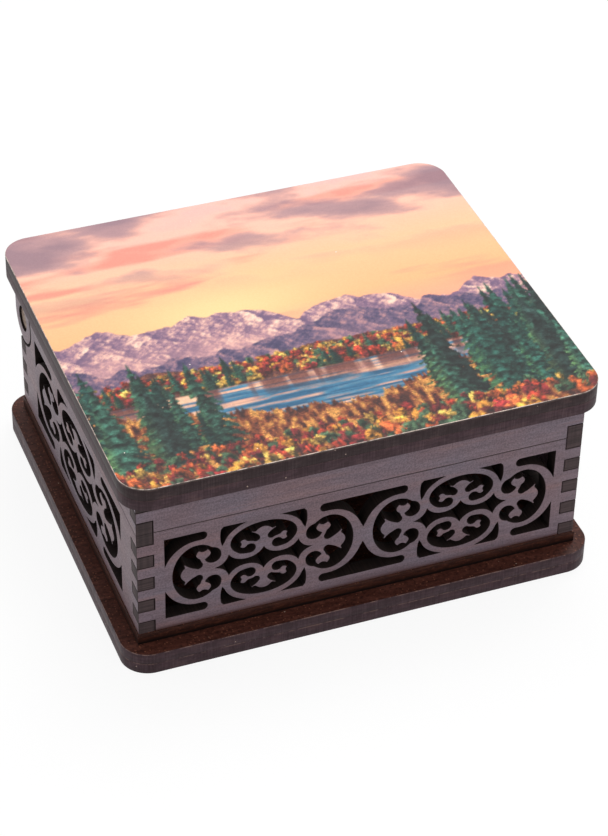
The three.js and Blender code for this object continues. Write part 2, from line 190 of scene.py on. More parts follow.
# Landscape, with lengths as shares of the picture and colours in steps of 255
SKYLINE_SOFT = 0.003
BANK_SOFT = 0.004
WATER_LEVEL = 0.285
FINE_LEAVES = 0.6
FIR_TIERS = 11
FIR_SPREAD = 0.17
FIR_LEAST = 0.006
RELIEF_LEANS = ((0.55, 1.0), (-0.7, 0.7))
RELIEF_SPAN = 3
AUTUMN = [(176, 62, 44), (204, 96, 52), (222, 148, 62), (148, 46, 46), (232, 180, 88), (70, 96, 70),
          (118, 42, 42)]
EVERGREEN = [(38, 78, 68), (30, 62, 56), (52, 92, 78), (36, 56, 52)]

# Hill ranges from far to near: skyline, relief, depth and colour of the haze, speckle, and tones by light
RANGES = (
    dict(skyline=dict(height=0.52, rise=0.22, cells=5, seed=5), relief=dict(cells=(9, 16), seed=9),
         haze=dict(reach=0.16, haze=(226, 168, 160)), fine=0.1,
         tones=((0.1, (112, 88, 118)), (0.5, (166, 126, 142)), (0.75, (226, 174, 164)),
                (1.0, (254, 218, 194)))),
    dict(skyline=dict(height=0.43, rise=0.17, cells=7, seed=6), relief=dict(cells=(12, 20), seed=13),
         haze=dict(reach=0.13, haze=(178, 130, 138)), fine=0.15,
         tones=((0.1, (66, 60, 92)), (0.5, (106, 88, 116)), (1.0, (190, 138, 140)))),
    dict(skyline=dict(height=0.36, rise=0.1, cells=6, seed=8), relief=dict(cells=(16, 30), seed=17),
         haze=None, fine=0.6,
         tones=((0.1, (60, 38, 44)), (0.5, (104, 60, 54)), (1.0, (172, 104, 72)))),
)

# Camera at the photograph's angle
AZIMUTH = math.radians(-21.391)
ELEVATION = math.radians(38.11)
ROLL = math.radians(1.228)
DISTANCE = 685.44 * MM
SLIDE = 3.171 * MM
LIFT = 18.29 * MM
LENS = 114.22
SENSOR = 36
CLIP_START = 10 * MM

# Stage: the floor, the world's light and the lamps, in metres and watts
FLOOR_HALF = 4.0
PAPER = 0.94
FLOOR_WHITE = 0.9
WORLD_LIGHT = 0.55
LAMP_AIM = (0, 0, 0.02)
LAMPS = (
    dict(name="key", power=7.0, size=0.6, place=(0.25, 0.3, 0.95)),
    dict(name="side", power=1.9, size=0.5, place=(-0.95, 0.45, 0.15)),
    dict(name="fill", power=2.4, size=0.6, place=(0.35, -0.9, 0.5)),
)

# Directions, and the factors that mirror an outline
LEFT, RIGHT = (-1, 0, 0), (1, 0, 0)
FRONT, BACK = (0, -1, 0), (0, 1, 0)
UP = (0, 0, 1)
FLIP = np.array([-1, 1])
QUARTERS = [np.array([su, sv]) for su in (-1, 1) for sv in (-1, 1)]


def arc(u, v, ru, rv, start, end, steps):
    """Points of an elliptic arc: the centre plus each radius times the cosine or sine of even angles."""
    turn = np.linspace(start, end, steps + 1)
    return np.stack([u + ru * np.cos(turn), v + rv * np.sin(turn)], axis=1)


def circle(u, v, r, start, end):
    """Points of a circular arc, with its angles in half turns."""
    return arc(u, v, r, r, start * math.pi, end * math.pi, CURL_STEPS)


def bend(start, control, end, steps=BEND_STEPS):
    """Quadratic curve: start, control and end weighted by (1-t) squared, 2t(1-t) and t squared."""
    t = np.linspace(0, 1, steps + 1)[:, None]
    start, control, end = (np.asarray(point, float) for point in (start, control, end))
    return start * (1 - t) ** 2 + control * 2 * t * (1 - t) + end * t ** 2


def joined(*runs):
    """Runs of points end to end, without points that repeat the one before."""
    points = np.concatenate([np.atleast_2d(np.asarray(run, float)) for run in runs])
    step = np.linalg.norm(np.diff(points, axis=0), axis=1)
    return points[np.concatenate([[True], step > SAME_POINT])]


def mirrored(run, axis, at=0.0):
    """An open run joined to its mirror image across a line, with the ends on that line kept once."""
    image = run[::-1].copy()
    image[:, axis] = 2 * at - image[:, axis]
    points = joined(run, image)
    closing = np.linalg.norm(points[0] - points[-1]) < SAME_POINT
    return points[:-1] if closing else points


def leaf(curl, du, dv, angle, size, side):
    """Leaf of a curl: a lobe, a notch and their mirror image, turned and set off from the curl."""
    half = joined(bend(LEAF_FOOT, LEAF_LOBE, LEAF_TIP), bend(LEAF_TIP, LEAF_LIP, LEAF_NOTCH, NOTCH_STEPS))
    whole = joined(half, half[::-1] * -FLIP)
    along, across = whole[:, 0] * size, whole[:, 1] * size * side
    cos, sin = math.cos(angle * math.pi), math.sin(angle * math.pi)
    return np.stack([curl["u"] + du + along * cos - across * sin,
                     curl["v"] + dv + along * sin + across * cos], axis=1)


def head(crown):
    """Half of a stem's head, along and out: the blunt barb, the shoulder and the dome up to the crown."""
    barb = np.array([crown - BARB["back"], BARB["out"]])
    shoulder = np.array([crown - SHOULDER["back"], SHOULDER["out"]])
    hook = bend(barb + BARB_WIDTH, shoulder + HOOK, shoulder, NOTCH_STEPS)
    return joined(barb, hook, bend(shoulder, (crown, SHOULDER["out"] / 2), (crown, 0)))


def curled_hole(ring, span, turn, curl, leaf_at, neck, throat, head_gap, axis):
    """Hole inside a scroll: part of the ring, a turn into the curl, leaf, neck, throat and half of the
    stem's head, mirrored about the stem. The axis is the coordinate that the mirror turns over."""
    outer = arc(**ring, start=span[0] * math.pi, end=span[1] * math.pi, steps=RING_STEPS)
    inner = circle(**curl)
    turn = bend(outer[-1], inner[0] + turn, inner[0])
    neck = circle(curl["u"] + neck["du"], curl["v"] + neck["dv"], neck["r"], neck["start"], neck["end"])
    if axis == 1:
        stem = head(ring["u"] + ring["ru"] - head_gap)
    else:
        stem = head(ring["v"] + ring["rv"] - head_gap)[:, ::-1]
    throat = bend(neck[-1], (neck[-1] + stem[0]) / 2 + throat, stem[0])
    return mirrored(joined(outer, turn, inner, leaf(curl, **leaf_at), neck, throat, stem), axis)


def cusped_hole():
    """Four-cusped hole: an arc round the curl up to where it enters the heart's round, found by halving,
    then the round down to the upright axis, mirrored about both axes."""
    u, v, ru, rv = (HEART_ROUND[key] for key in ("u", "v", "ru", "rv"))
    reach = math.hypot(CUSP_INSET, C_CURL["v"])
    start = math.atan2(-C_CURL["v"], -CUSP_INSET)
    outside, inside = start, -math.pi
    for _ in range(HALVINGS):
        middle = (outside + inside) / 2
        across = (C_CURL["u"] + reach * math.cos(middle) - u) / ru
        rise = (C_CURL["v"] + reach * math.sin(middle) - v) / rv
        if math.hypot(across, rise) > 1:
            outside = middle
            meeting = math.atan2(rise, across)
        else:
            inside = middle
    side = arc(C_CURL["u"], C_CURL["v"], reach, reach, start, outside, CURL_STEPS)
    under = arc(u, v, ru, rv, meeting, math.acos(u / ru) - math.pi, CURL_STEPS)
    return mirrored(mirrored(joined(side, under), 0), 1)


def spandrel_hole():
    """Upper right spandrel: an arc one stroke outside the heart, the tip, and a bulging side."""
    ru, rv = HEART_RING["ru"] + STROKE, HEART_RING["rv"] + STROKE
    start = math.asin((GRID_TOP - HEART_RING["v"]) / rv)
    end = SPANDREL["angle"] * math.pi
    inner = arc(HEART_RING["u"], HEART_RING["v"], ru, rv, start, end, CURL_STEPS)
    outer = bend(SPANDREL["tip"], SPANDREL["bulge"], SPANDREL["shoulder"])
    return joined(inner, outer, (SPANDREL["corner"], GRID_TOP))


def slot_run():
    """Slot outside the C-scroll: its round end, then an arc outside the ring up to the side."""
    ru, rv = C_RING["ru"] + SIDE_STROKE, C_RING["rv"] + STROKE - SLOT_TRIM
    end = math.acos((GRID_SIDE - C_RING["u"]) / ru)
    return joined(circle(**SLOT_END), arc(C_RING["u"], C_RING["v"], ru, rv, math.pi / 2, end, CURL_STEPS))


def window_holes(motifs):
    """All holes of a window of one or two motifs, centred on the grid, and the window's half width."""
    offset = (motifs - 1) * GRID_SEAM
    scroll, heart, spandrel = curled_hole(**C_SCROLL), curled_hole(**HEART), spandrel_hole()
    motif = [scroll, scroll * FLIP, heart, heart * -FLIP, cusped_hole()]
    motif += [spandrel * quarter for quarter in QUARTERS]
    centres = [0] if motifs == 1 else [-offset, offset]
    holes = [hole + [centre, 0] for centre in centres for hole in motif]
    at_side = joined(slot_run(), (GRID_SIDE, GRID_TOP)) + [offset, 0]
    holes += [at_side * quarter for quarter in QUARTERS]
    if motifs == 2:
        seam = mirrored(joined(slot_run(), (GRID_SEAM, SEAM_TIP)), 0, GRID_SEAM) - [offset, 0]
        holes += [seam * -FLIP, seam]
    return holes, GRID_SIDE + offset


def fretwork(motifs, start, end):
    """The window's holes scaled from the drawing grid to a stretch of wall between two positions."""
    holes, half = window_holes(motifs)
    height = WALL_H - WINDOW_RISE - WINDOW_TOP
    scale = np.array([(end - start) / 2 / half, height / 2 / GRID_TOP])
    middle = np.array([(start + end) / 2, WINDOW_RISE + height / 2])
    return [hole * scale + middle for hole in holes]


def fingers(steps, height, owns_first, foot=0.0):
    """Finger joint up an edge: pairs of inset and height, with each step trimmed by half the gap."""
    index = np.arange(steps)
    owns = (index % 2 == 0) == owns_first
    trim = np.where(owns, JOINT_GAP / 2, -JOINT_GAP / 2)
    low = index * height / steps + trim
    high = (index + 1) * height / steps - trim
    low[0], high[-1] = foot, height
    inset = np.where(owns, 0, SLOT_DEPTH)
    return np.stack([np.repeat(inset, 2), np.stack([low, high], axis=1).ravel()], axis=1)


def jointed(half, run):
    """Symmetric outline: the joint's run on the right end and its mirror image on the left."""
    right = run * FLIP + [half, 0]
    return joined(right, right[::-1] * FLIP)


def rectangle(left, right, low, high):
    """Corners of a rectangle."""
    return np.array([(right, low), (right, high), (left, high), (left, low)])


def front_wall_outline():
    """Front wall: a rectangle with finger joints up both ends."""
    return jointed(BODY_HALF_X, fingers(WALL_STEPS, WALL_H, False))


def back_wall_outline():
    """Back wall: finger joints below, and upper corners stepped down to just below the pins' seats."""
    ledge = AXIS_Z - WALL_Z - SEAT_R - SEAT_SINK
    steps = [(EAR_RECESS, REAR_JOINT_H), (EAR_RECESS, ledge), (SEAT_INSET, ledge), (SEAT_INSET, WALL_H)]
    return jointed(BODY_HALF_X, joined(fingers(REAR_STEPS, REAR_JOINT_H, False), steps))


def side_wall_outline():
    """Side wall with the rear on the right: both joints, and the round notch beside the lid's ear."""
    front = fingers(WALL_STEPS, WALL_H, True)[::-1]
    rear = fingers(REAR_STEPS, REAR_JOINT_H, True)[:-1]
    rise = AXIS_Z - WALL_Z
    foot = math.asin((AXIS_Y - BODY_HALF_Y + SLOT_DEPTH) / NOTCH_R)
    top = math.asin((WALL_H - rise) / NOTCH_R)
    notch = arc(AXIS_Y, rise, NOTCH_R, NOTCH_R, -math.pi / 2 - foot, -math.pi - top, CORNER_STEPS)
    return joined(front - [BODY_HALF_Y, 0], rear * FLIP + [BODY_HALF_Y, 0], notch)


def front_strip_outline():
    """Front strip of the lid: finger joints up both ends, from a foot just above the wall."""
    return jointed(BODY_HALF_X, fingers(STRIP_STEPS, STRIP_H, False, -STRIP_REACH))


def back_strip_outline():
    """Back strip of the lid: a plain rectangle between the side strips."""
    half = BACK_STRIP_HIGH[0]
    return rectangle(-half, half, BACK_STRIP_LOW[2] - STRIP_Z, STRIP_H)


def side_strip_outline():
    """Side strip of the lid: the front joint, the straight underside and the ear round the hinge axis."""
    front = fingers(STRIP_STEPS, STRIP_H, True, -STRIP_REACH)[::-1]
    rise = AXIS_Z - STRIP_Z
    top = math.asin((-STRIP_REACH - rise) / EAR_R)
    ear = arc(AXIS_Y, rise, EAR_R, EAR_R, math.pi - top, 2 * math.pi, 2 * CORNER_STEPS)
    return joined(front - [BODY_HALF_Y, 0], ear, (AXIS_Y + EAR_R, STRIP_H))


def pin_hole_outline():
    """Hole in a side strip's ear: a circle round the hinge axis with room for the pin."""
    radius = PIN_R + PIN_GAP
    return arc(AXIS_Y, AXIS_Z - STRIP_Z, radius, radius, 0, 2 * math.pi, 2 * CORNER_STEPS)[:-1]


def plate_outline(width, depth):
    """Rounded rectangle: four quarter arcs."""
    x, y = width / 2 - PLATE_R, depth / 2 - PLATE_R
    quarter = math.pi / 2
    centres = [(x, y), (-x, y), (-x, -y), (x, -y)]
    return joined(*(arc(cx, cy, PLATE_R, PLATE_R, k * quarter, (k + 1) * quarter, CORNER_STEPS)
                    for k, (cx, cy) in enumerate(centres)))


def quarter_round(radius):
    """Quarter round, as inset and depth: the radius times one minus the sine and one minus the cosine."""
    turn = np.linspace(0, math.pi / 2, ARRIS_STEPS + 1)
    return radius * (1 - np.sin(turn)), radius * (1 - np.cos(turn))


def oriented(loop, counter_clockwise):
    """The loop in the asked direction, judged by the sign of its area."""
    x, y = loop[:, 0], loop[:, 1]
    area = np.sum(x * np.roll(y, -1) - np.roll(x, -1) * y)
    return loop if (area > 0) == counter_clockwise else loop[::-1]


def inward(loop):
    """Mitred normals to the left of a loop: a shift along them moves both neighbouring edges by one, up
    to a limit at sharp corners."""
    ahead = np.roll(loop, -1, axis=0) - loop
    ahead /= np.linalg.norm(ahead, axis=1, keepdims=True)
    left = np.stack([-ahead[:, 1], ahead[:, 0]], axis=1)
    both = left + np.roll(left, 1, axis=0)
    both /= np.maximum(np.linalg.norm(both, axis=1, keepdims=True), TINY)
    return both / np.maximum(np.sum(both * left, axis=1, keepdims=True), MITRE_LIMIT)


def inside(points, loop):
    """Whether each point lies in a loop: an odd number of edges cross the level line to its right."""
    x, y = points[:, :1], points[:, 1:]
    start, end = loop, np.roll(loop, -1, axis=0)
    spans = (start[:, 1] > y) != (end[:, 1] > y)
    rise = np.where(end[:, 1] == start[:, 1], 1, end[:, 1] - start[:, 1])
    crossing = start[:, 0] + (y - start[:, 1]) * (end[:, 0] - start[:, 0]) / rise
    return np.sum(spans & (crossing > x), axis=1) % 2 == 1


def filled_face(loops):
    """Triangles between an outer loop and its holes, as indices into all the loops' points, and for each
    point the one that follows it in its loop."""
    flat = np.concatenate(loops)
    starts = np.cumsum([0] + [len(loop) for loop in loops[:-1]])
    following = np.concatenate([start + np.roll(np.arange(len(loop)), -1)
                                for start, loop in zip(starts, loops)])
    points = [Vector(point) for point in flat]
    edges = np.stack([np.arange(len(flat)), following], axis=1).tolist()
    _, _, triangles, sources, _, _ = delaunay_2d_cdt(points, edges, [], CDT_INSIDE, TINY)
    triangles = np.array([ids[0] for ids in sources])[np.array(triangles)]
    middle = flat[triangles].mean(axis=1)
    kept = inside(middle, loops[0])
    for hole in loops[1:]:
        kept &= ~inside(middle, hole)
    return triangles[kept], following


def quads(*corner_runs):
    """Four-sided faces from four runs of corners."""
    return np.stack(corner_runs, axis=-1).reshape(-1, 4)


def new_mesh(name, points, kinds, *faces):
    """Mesh of points and groups of faces, with one material number or one for each face, smooth along its
    curves and sharp at its corners."""
    mesh = bpy.data.meshes.new(name)
    mesh.from_pydata(points.reshape(-1, 3), [], [face for group in faces for face in group.tolist()])
    kinds = np.broadcast_to(kinds, len(mesh.polygons)).astype(np.int32)
    mesh.polygons.foreach_set("material_index", kinds)
    mesh.shade_smooth()
    mesh.set_sharp_from_angle(angle=SHARP_ANGLE)
    return mesh


def added(name, data):
    """New object of some data in the scene."""
    piece = bpy.data.objects.new(name, data)
    bpy.context.scene.collection.objects.link(piece)
    return piece


def finished(mesh, materials):
    """Object of a mesh with its materials."""
    for material in materials:
        mesh.materials.append(material)
    mesh.update()
    return added(mesh.name, mesh)


def board(name, outline, holes, thickness, place, materials):
    """Board of any outline: an edge profile with a quarter round at each face is carried along every
    loop, and the two faces are filled between the loops. A point is (along, up) on the face and a depth
    from the outer face; place turns those into space. The materials are those of the faces, of the outer
    edge and, last, of the holes' edges."""
    loops = [oriented(outline, True)] + [oriented(hole, False) for hole in holes]
    flat = np.concatenate(loops)
    normal = np.concatenate([inward(loop) for loop in loops])
    inset, depth = quarter_round(ARRIS_R)
    inset, depth = np.append(inset, inset[::-1]), np.append(depth, thickness - depth[::-1])
    rings = flat[None] + normal[None] * inset[:, None, None]
    levels = np.broadcast_to(depth[:, None], rings.shape[:2])
    points = place(rings[..., 0], rings[..., 1], levels)
    ends = np.cumsum([len(loop) for loop in loops])[:-1]
    outer, following = filled_face(np.split(rings[0], ends))
    index = np.arange(len(depth) * len(flat)).reshape(len(depth), -1)
    after = index[:, following]
    edge = quads(index[:-1], index[1:], after[1:], after[:-1])
    inner = outer[:, ::-1] + index[-1, 0]
    edge_kinds = np.where(index[0] < len(loops[0]), 1, len(materials) - 1)
    kinds = np.append(np.zeros(2 * len(outer)), np.tile(edge_kinds, len(depth) - 1))
    return finished(new_mesh(name, points, kinds, outer, inner, edge), materials)


def pin_seats():
    """Seats of the hinge pins in the back wall: a section with a round groove in its top, carried along
    the hinge axis at both corners. They are let into the wall, with sides a hair behind its faces."""
    inner, outer = BODY_HALF_Y - WALL_T + SEAT_SKIN, BODY_HALF_Y - SEAT_SKIN
    start = -math.acos(max(-1, (inner - AXIS_Y) / SEAT_R))
    groove = arc(AXIS_Y, AXIS_Z, SEAT_R, SEAT_R, start, 0, CORNER_STEPS)
    bottom = AXIS_Z - SEAT_R - 2 * SEAT_SINK
    section = oriented(joined((inner, bottom), groove, (outer, AXIS_Z), (outer, bottom)), True)
    near, far = BODY_HALF_X - SEAT_INSET - SEAT_SINK, BODY_HALF_X - EAR_RECESS - SEAT_SKIN
    ends = np.array([[near, far], [-far, -near]])
    count = len(section)
    points = np.concatenate([np.broadcast_to(ends[..., None, None], (2, 2, count, 1)),
                             np.broadcast_to(section, (2, 2, count, 2))], axis=3)
    index = np.arange(4 * count).reshape(2, 2, count)
    after = np.roll(index, -1, axis=2)
    sides = quads(index[:, 0], after[:, 0], after[:, 1], index[:, 1])
    caps = np.concatenate([index[:, 0, ::-1], index[:, 1]])
    upright = np.roll(section, -1, axis=0)[:, 0] == section[:, 0]
    kinds = np.append(np.tile(np.where(upright, 0, 1), 2), np.ones(len(caps)))
    return new_mesh("pin_seats", points, kinds, sides, caps)


def add_shells(piece, mesh):
    """Puts a second mesh's shells into a piece's own mesh."""
    shells = bmesh.new()
    shells.from_mesh(piece.data)
    shells.from_mesh(mesh)
    shells.to_mesh(piece.data)
    shells.free()
    bpy.data.meshes.remove(mesh)


def facing(along, out, reach, rise=0.0, up=UP):
    """Placing function of a board: along its direction, up from a rise, and back from its outer face."""
    along, up, out = (np.array(direction, float) for direction in (along, up, out))

    def place(u, v, depth):
        return along * u[..., None] + up * (v + rise)[..., None] + out * (reach - depth)[..., None]
    return place


def linear(shown):
    """Linear light of displayed values from 0 to 1, by the standard display curve."""
    return np.where(shown <= 0.04045, shown / 12.92, ((shown + 0.055) / 1.055) ** 2.4)


def srgb(colour):
    """Linear colour of a displayed colour in steps of 255."""
    return (*linear(np.array(colour) / 255).tolist(), 1.0)


class Nodes:
    """Short calls for the nodes of one node tree. Colours are given as they show, in steps of 255."""

    def __init__(self, tree):
        self.tree = tree

    def join(self, socket, value):
        """Links a socket to another one, or sets it to a plain value."""
        if isinstance(value, bpy.types.NodeSocket):
            self.tree.links.new(value, socket)
        else:
            socket.default_value = value

    def feed(self, node, **inputs):
        """Joins a node's inputs by their names, with an underscore for a space."""
        for name, value in inputs.items():
            self.join(node.inputs[name.replace("_", " ")], value)
        return node

    def node(self, kind, **inputs):
        """New node with some of its inputs joined."""
        return self.feed(self.tree.nodes.new(kind), **inputs)

    def math(self, operation, first, second):
        """Two values put together by an operation."""
        node = self.tree.nodes.new("ShaderNodeMath")
        node.operation = operation
        self.join(node.inputs[0], first)
        self.join(node.inputs[1], second)
        return node.outputs[0]

    def mix(self, factor, first, second, blend="MIX"):
        """Two colours mixed by a factor."""
        node = self.tree.nodes.new("ShaderNodeMix")
        node.data_type = "RGBA"
        node.blend_type = blend
        for number, value in zip(MIX_INPUTS, (factor, first, second)):
            self.join(node.inputs[number], srgb(value) if isinstance(value, tuple) else value)
        return node.outputs[MIX_RESULT]

    def over(self, colour, tone, value, *stops):
        """A colour with a tone laid over it by a ramp of a value."""
        return self.mix(self.ramp(value, *stops), colour, tone)

    def ramp(self, value, *stops):
        """Colours or plain numbers along a value, blended from stop to stop."""
        node = self.node("ShaderNodeValToRGB", Fac=value)
        elements = node.color_ramp.elements
        while len(elements) < len(stops):
            elements.new(0.5)
        for element, (position, shown) in zip(elements, stops):
            element.position = position
            element.color = srgb(shown) if isinstance(shown, tuple) else (shown, shown, shown, 1)
        return node.outputs["Color"]


class Finish(Nodes):
    """Material around one surface shader, with patterns in the part's own coordinates. Scales are counts
    per metre, one for all axes or one for each."""

    def __init__(self, name):
        self.material = bpy.data.materials.new(name)
        self.material.use_nodes = True
        super().__init__(self.material.node_tree)
        self.place = self.node("ShaderNodeTexCoord").outputs["Object"]

    def stretched(self, scale, shift=(0, 0, 0)):
        """Object coordinates scaled along each axis, then shifted."""
        scale = np.broadcast_to(scale, 3).tolist()
        return self.node("ShaderNodeMapping", Vector=self.place, Scale=scale, Location=shift).outputs[0]

    def noise(self, scale, detail=4, roughness=0.55, shift=(0, 0, 0)):
        """Fractal noise, by its scale, its number of finer layers, their strength and a shift."""
        place = self.stretched(scale, shift)
        node = self.node("ShaderNodeTexNoise", Vector=place, Scale=1, Detail=detail, Roughness=roughness)
        return node.outputs["Fac"]

    def level(self, low, high):
        """Share of the way up from one height to another."""
        height = self.node("ShaderNodeSeparateXYZ", Vector=self.place).outputs["Z"]
        return self.node("ShaderNodeMapRange", Value=height, From_Min=low, From_Max=high).outputs[0]

    def cells(self, scale, shift=(0, 0, 0)):
        """Cells round scattered points: the distance from a point, and a random share for each cell."""
        node = self.node("ShaderNodeTexVoronoi", Vector=self.stretched(scale, shift), Scale=1)
        share = self.node("ShaderNodeSeparateColor", Color=node.outputs["Color"]).outputs[0]
        return node.outputs["Distance"], share

    def specks(self, scale, size, shift=(0, 0, 0)):
        """Sparse dots round the middles of a few cells."""
        distance, share = self.cells(scale, shift)
        return self.math("MULTIPLY", self.math("LESS_THAN", distance, size),
                         self.math("GREATER_THAN", share, SPECK_SHARE))

    def done(self, colour, bump=None, strength=0.0, depth=BUMP_DEPTH, **inputs):
        """The material, with its colour, its bump and the shader's other inputs."""
        if bump is not None:
            normal = self.node("ShaderNodeBump", Height=bump, Strength=strength, Distance=depth)
            inputs["Normal"] = normal.outputs[0]
        self.feed(self.tree.nodes["Principled BSDF"], Base_Color=colour, **inputs)
        return self.material


def grain_scale(along, long=GRAIN_ALONG, across=GRAIN_ACROSS):
    """Counts per metre of a grain that runs along one axis."""
    return tuple(long if axis == along else across for axis in "XYZ")


def stained_face(along):
    """Stained veneer: fine streaks and a few long bands along the grain, small pores, a fine speckle,
    slow patches of warmer and greyer stain, and a painted reflection of the ledge at the wall's foot."""
    finish = Finish(f"stained_face_{along}")
    streak = finish.noise(grain_scale(along), 6, 0.7)
    patch = finish.noise((45, 45, 70), 3)
    warm = finish.ramp(streak, (0.32, (93, 72, 77)), (0.5, (101, 80, 86)), (0.68, (110, 89, 95)))
    grey = finish.ramp(streak, (0.32, (85, 73, 82)), (0.5, (94, 82, 92)), (0.68, (103, 91, 102)))
    colour = finish.mix(finish.ramp(patch, (0.36, 0.0), (0.64, 1.0)), warm, grey)
    band = finish.noise(grain_scale(along, 16, 330), 4, 0.65, (6, 2, 3))
    colour = finish.over(colour, (122, 91, 90), band, (0.54, 0.0), (0.7, 0.55))
    colour = finish.over(colour, (80, 65, 72), band, (0.32, 0.5), (0.46, 0.0))
    pore = finish.noise(grain_scale(along, 416, 3900), 2, 0.5, (3, 1, 7))
    colour = finish.over(colour, (64, 48, 51), pore, (0.3, 0.3), (0.4, 0.0))
    speckle = finish.noise(2100, 3, 0.7, (2, 9, 4))
    colour = finish.mix(0.75, colour, finish.ramp(speckle, (0.34, 0.3), (0.66, 0.7)), "OVERLAY")
    # Painted reflection of the red-brown ledge: a granular reddish tone on the lowest part of the wall
    foot = finish.math("SUBTRACT", speckle, finish.level(WALL_Z, WALL_Z + LEDGE_REFLECTION_HEIGHT))
    colour = finish.over(colour, (64, 38, 32), foot, (0.05, 0.0), (0.35, 0.8))
    return finish.done(colour, speckle, 0.25, Roughness=finish.ramp(speckle, (0.3, 0.56), (0.7, 0.42)),
                       Specular_IOR_Level=0.5, Specular_Tint=(1, 0.9, 0.95, 1))


def burnt_edge(depth):
    """Cut edge of a board: scorched wood with lines across its thickness and slightly paler plies."""
    finish = Finish(f"burnt_edge_{depth}")
    line = finish.noise(grain_scale(depth, *BURNT_LINES), 3, 0.6)
    ply = finish.noise(grain_scale(depth, *PLY_BANDS), 2, 0.5)
    dark = finish.ramp(line, (0.3, (34, 24, 25)), (0.7, (54, 41, 42)))
    pale = finish.ramp(line, (0.3, (42, 30, 31)), (0.7, (68, 53, 54)))
    colour = finish.mix(finish.ramp(ply, (0.42, 0.0), (0.58, 1.0)), dark, pale)
    return finish.done(colour, line, 0.3, Roughness=0.7, Specular_IOR_Level=0.3)


def charred_edge(depth):
    """Edge of a sawn opening: almost black, with faint lines across the board's thickness."""
    finish = Finish(f"charred_edge_{depth}")
    line = finish.noise(grain_scale(depth, *BURNT_LINES), 3, 0.6)
    colour = finish.ramp(line, (0.3, (14, 9, 8)), (0.7, (38, 27, 25)))
    return finish.done(colour, line, 0.3, Roughness=0.8, Specular_IOR_Level=0.15)


def plate_edge(name, low, high, tones, worn):
    """Edge of a plate: fine upright saw marks, plies that change with height, dark at the glue, rare
    specks, and a pale arris where the finish has worn off."""
    finish = Finish(f"plate_edge_{name}")
    marks = finish.noise((2600, 2600, 150), 5, 0.7)
    waver = finish.math("MULTIPLY", finish.math("SUBTRACT", finish.noise(40, 2), 0.5), PLY_WAVER)
    height = finish.math("ADD", finish.level(low, high), waver)
    wood = finish.ramp(marks, *zip((0.3, 0.5, 0.7), tones))
    colour = finish.mix(finish.ramp(height, *PLIES), (36, 24, 26), wood)
    blotch = finish.noise((200, 200, 500), 5, 0.65)
    colour = finish.over(colour, (30, 20, 20), blotch, (0.42, 0.4), (0.55, 0.0))
    colour = finish.over(colour, (84, 62, 60), blotch, (0.55, 0.0), (0.75, 0.5))
    wear = finish.ramp(finish.noise((420, 420, 60), 4, 0.7, (1, 5, 2)), (0.42, 0.0), (0.56, 1.0))
    arris = finish.ramp(finish.level(low, high), (0.9, 0.0), (0.96, worn))
    colour = finish.mix(finish.math("MULTIPLY", arris, wear), colour, (128, 102, 94))
    colour = finish.mix(finish.specks(330, 0.06), colour, (150, 130, 120))
    return finish.done(colour, marks, 0.2, Roughness=finish.ramp(marks, (0.3, 0.6), (0.7, 0.45)),
                       Specular_IOR_Level=0.16, Specular_Tint=(1, 0.86, 0.93, 1))


def floor_edge(low, high):
    """Edge of the floor: red-brown lacquered wood, mottled, with a painted shade line at its foot."""
    finish = Finish("floor_edge")
    grain = finish.noise((260, 260, 1800), 5, 0.6)
    colour = finish.ramp(grain, (0.3, (28, 9, 5)), (0.5, (44, 18, 11)), (0.72, (72, 37, 25)))
    mottle = finish.noise(1300, 3, 0.65)
    colour = finish.over(colour, (88, 50, 36), mottle, (0.56, 0.0), (0.7, 0.6))
    # Painted shade: a dark line along the foot, where the floor's edge meets the base
    rise = finish.level(low, high)
    colour = finish.over(colour, (14, 7, 6), rise, (0.0, 1.0), (0.2, 0.95), (0.32, 0.3), (0.6, 0.0))
    return finish.done(colour, mottle, 0.2, Roughness=0.5, Specular_IOR_Level=0.15)


def lacquer():
    """Dark lacquered face: red-brown grain, mottling, painted glints and dust under a satin coat."""
    finish = Finish("dark_lacquer")
    grain = finish.noise(grain_scale("X", 160, 1100), 5, 0.6)
    mottle = finish.noise(1000, 4, 0.65)
    colour = finish.ramp(grain, (0.3, (58, 29, 22)), (0.55, (78, 43, 35)), (0.8, (102, 62, 51)))
    colour = finish.over(colour, (28, 13, 10), mottle, (0.35, 0.7), (0.52, 0.0))
    colour = finish.over(colour, (98, 62, 50), mottle, (0.58, 0.0), (0.72, 0.45))
    # Painted glints: small bright specks that stand in for light caught in the lacquer
    colour = finish.mix(finish.specks(1500, 0.3, (4, 8, 1)), colour, (112, 70, 54))
    colour = finish.mix(finish.specks(300, 0.06), colour, (150, 128, 114))
    return finish.done(colour, mottle, 0.2, Roughness=finish.ramp(mottle, (0.3, 0.5), (0.7, 0.36)),
                       Specular_IOR_Level=0.1, Coat_Weight=0.04, Coat_Roughness=0.2)


def end_grain():
    """End of a dowel: rings round the hinge axis and scattered pores."""
    finish = Finish("dowel_end_grain")
    centred = finish.stretched(1, (0, -AXIS_Y, -AXIS_Z))
    rings = finish.node("ShaderNodeTexWave", Vector=centred, Scale=260, Distortion=3, Detail=3)
    rings.wave_type = "RINGS"
    rings.rings_direction = "X"
    pores = finish.noise(grain_scale("X", 900, 2600), 2, 0.5)
    colour = finish.ramp(rings.outputs["Fac"], (0.2, (104, 84, 72)), (0.8, (140, 120, 104)))
    colour = finish.over(colour, (60, 46, 40), pores, (0.32, 0.6), (0.45, 0.0))
    return finish.done(colour, pores, 0.3, Roughness=0.62, Specular_IOR_Level=0.35)


def print_edge():
    """Cut rim of the printed sheet: a pale paper arris, broken by soiling, above a scorched edge."""
    finish = Finish("print_rim")
    paper = finish.ramp(finish.noise(500, 4, 0.7), (0.38, (96, 74, 66)), (0.6, (226, 204, 190)))
    low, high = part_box("lid_print")
    top = finish.ramp(finish.level(low.z, high.z), (0.62, 0.0), (0.74, 1.0))
    return finish.done(finish.mix(top, (54, 41, 39), paper), Roughness=0.4)


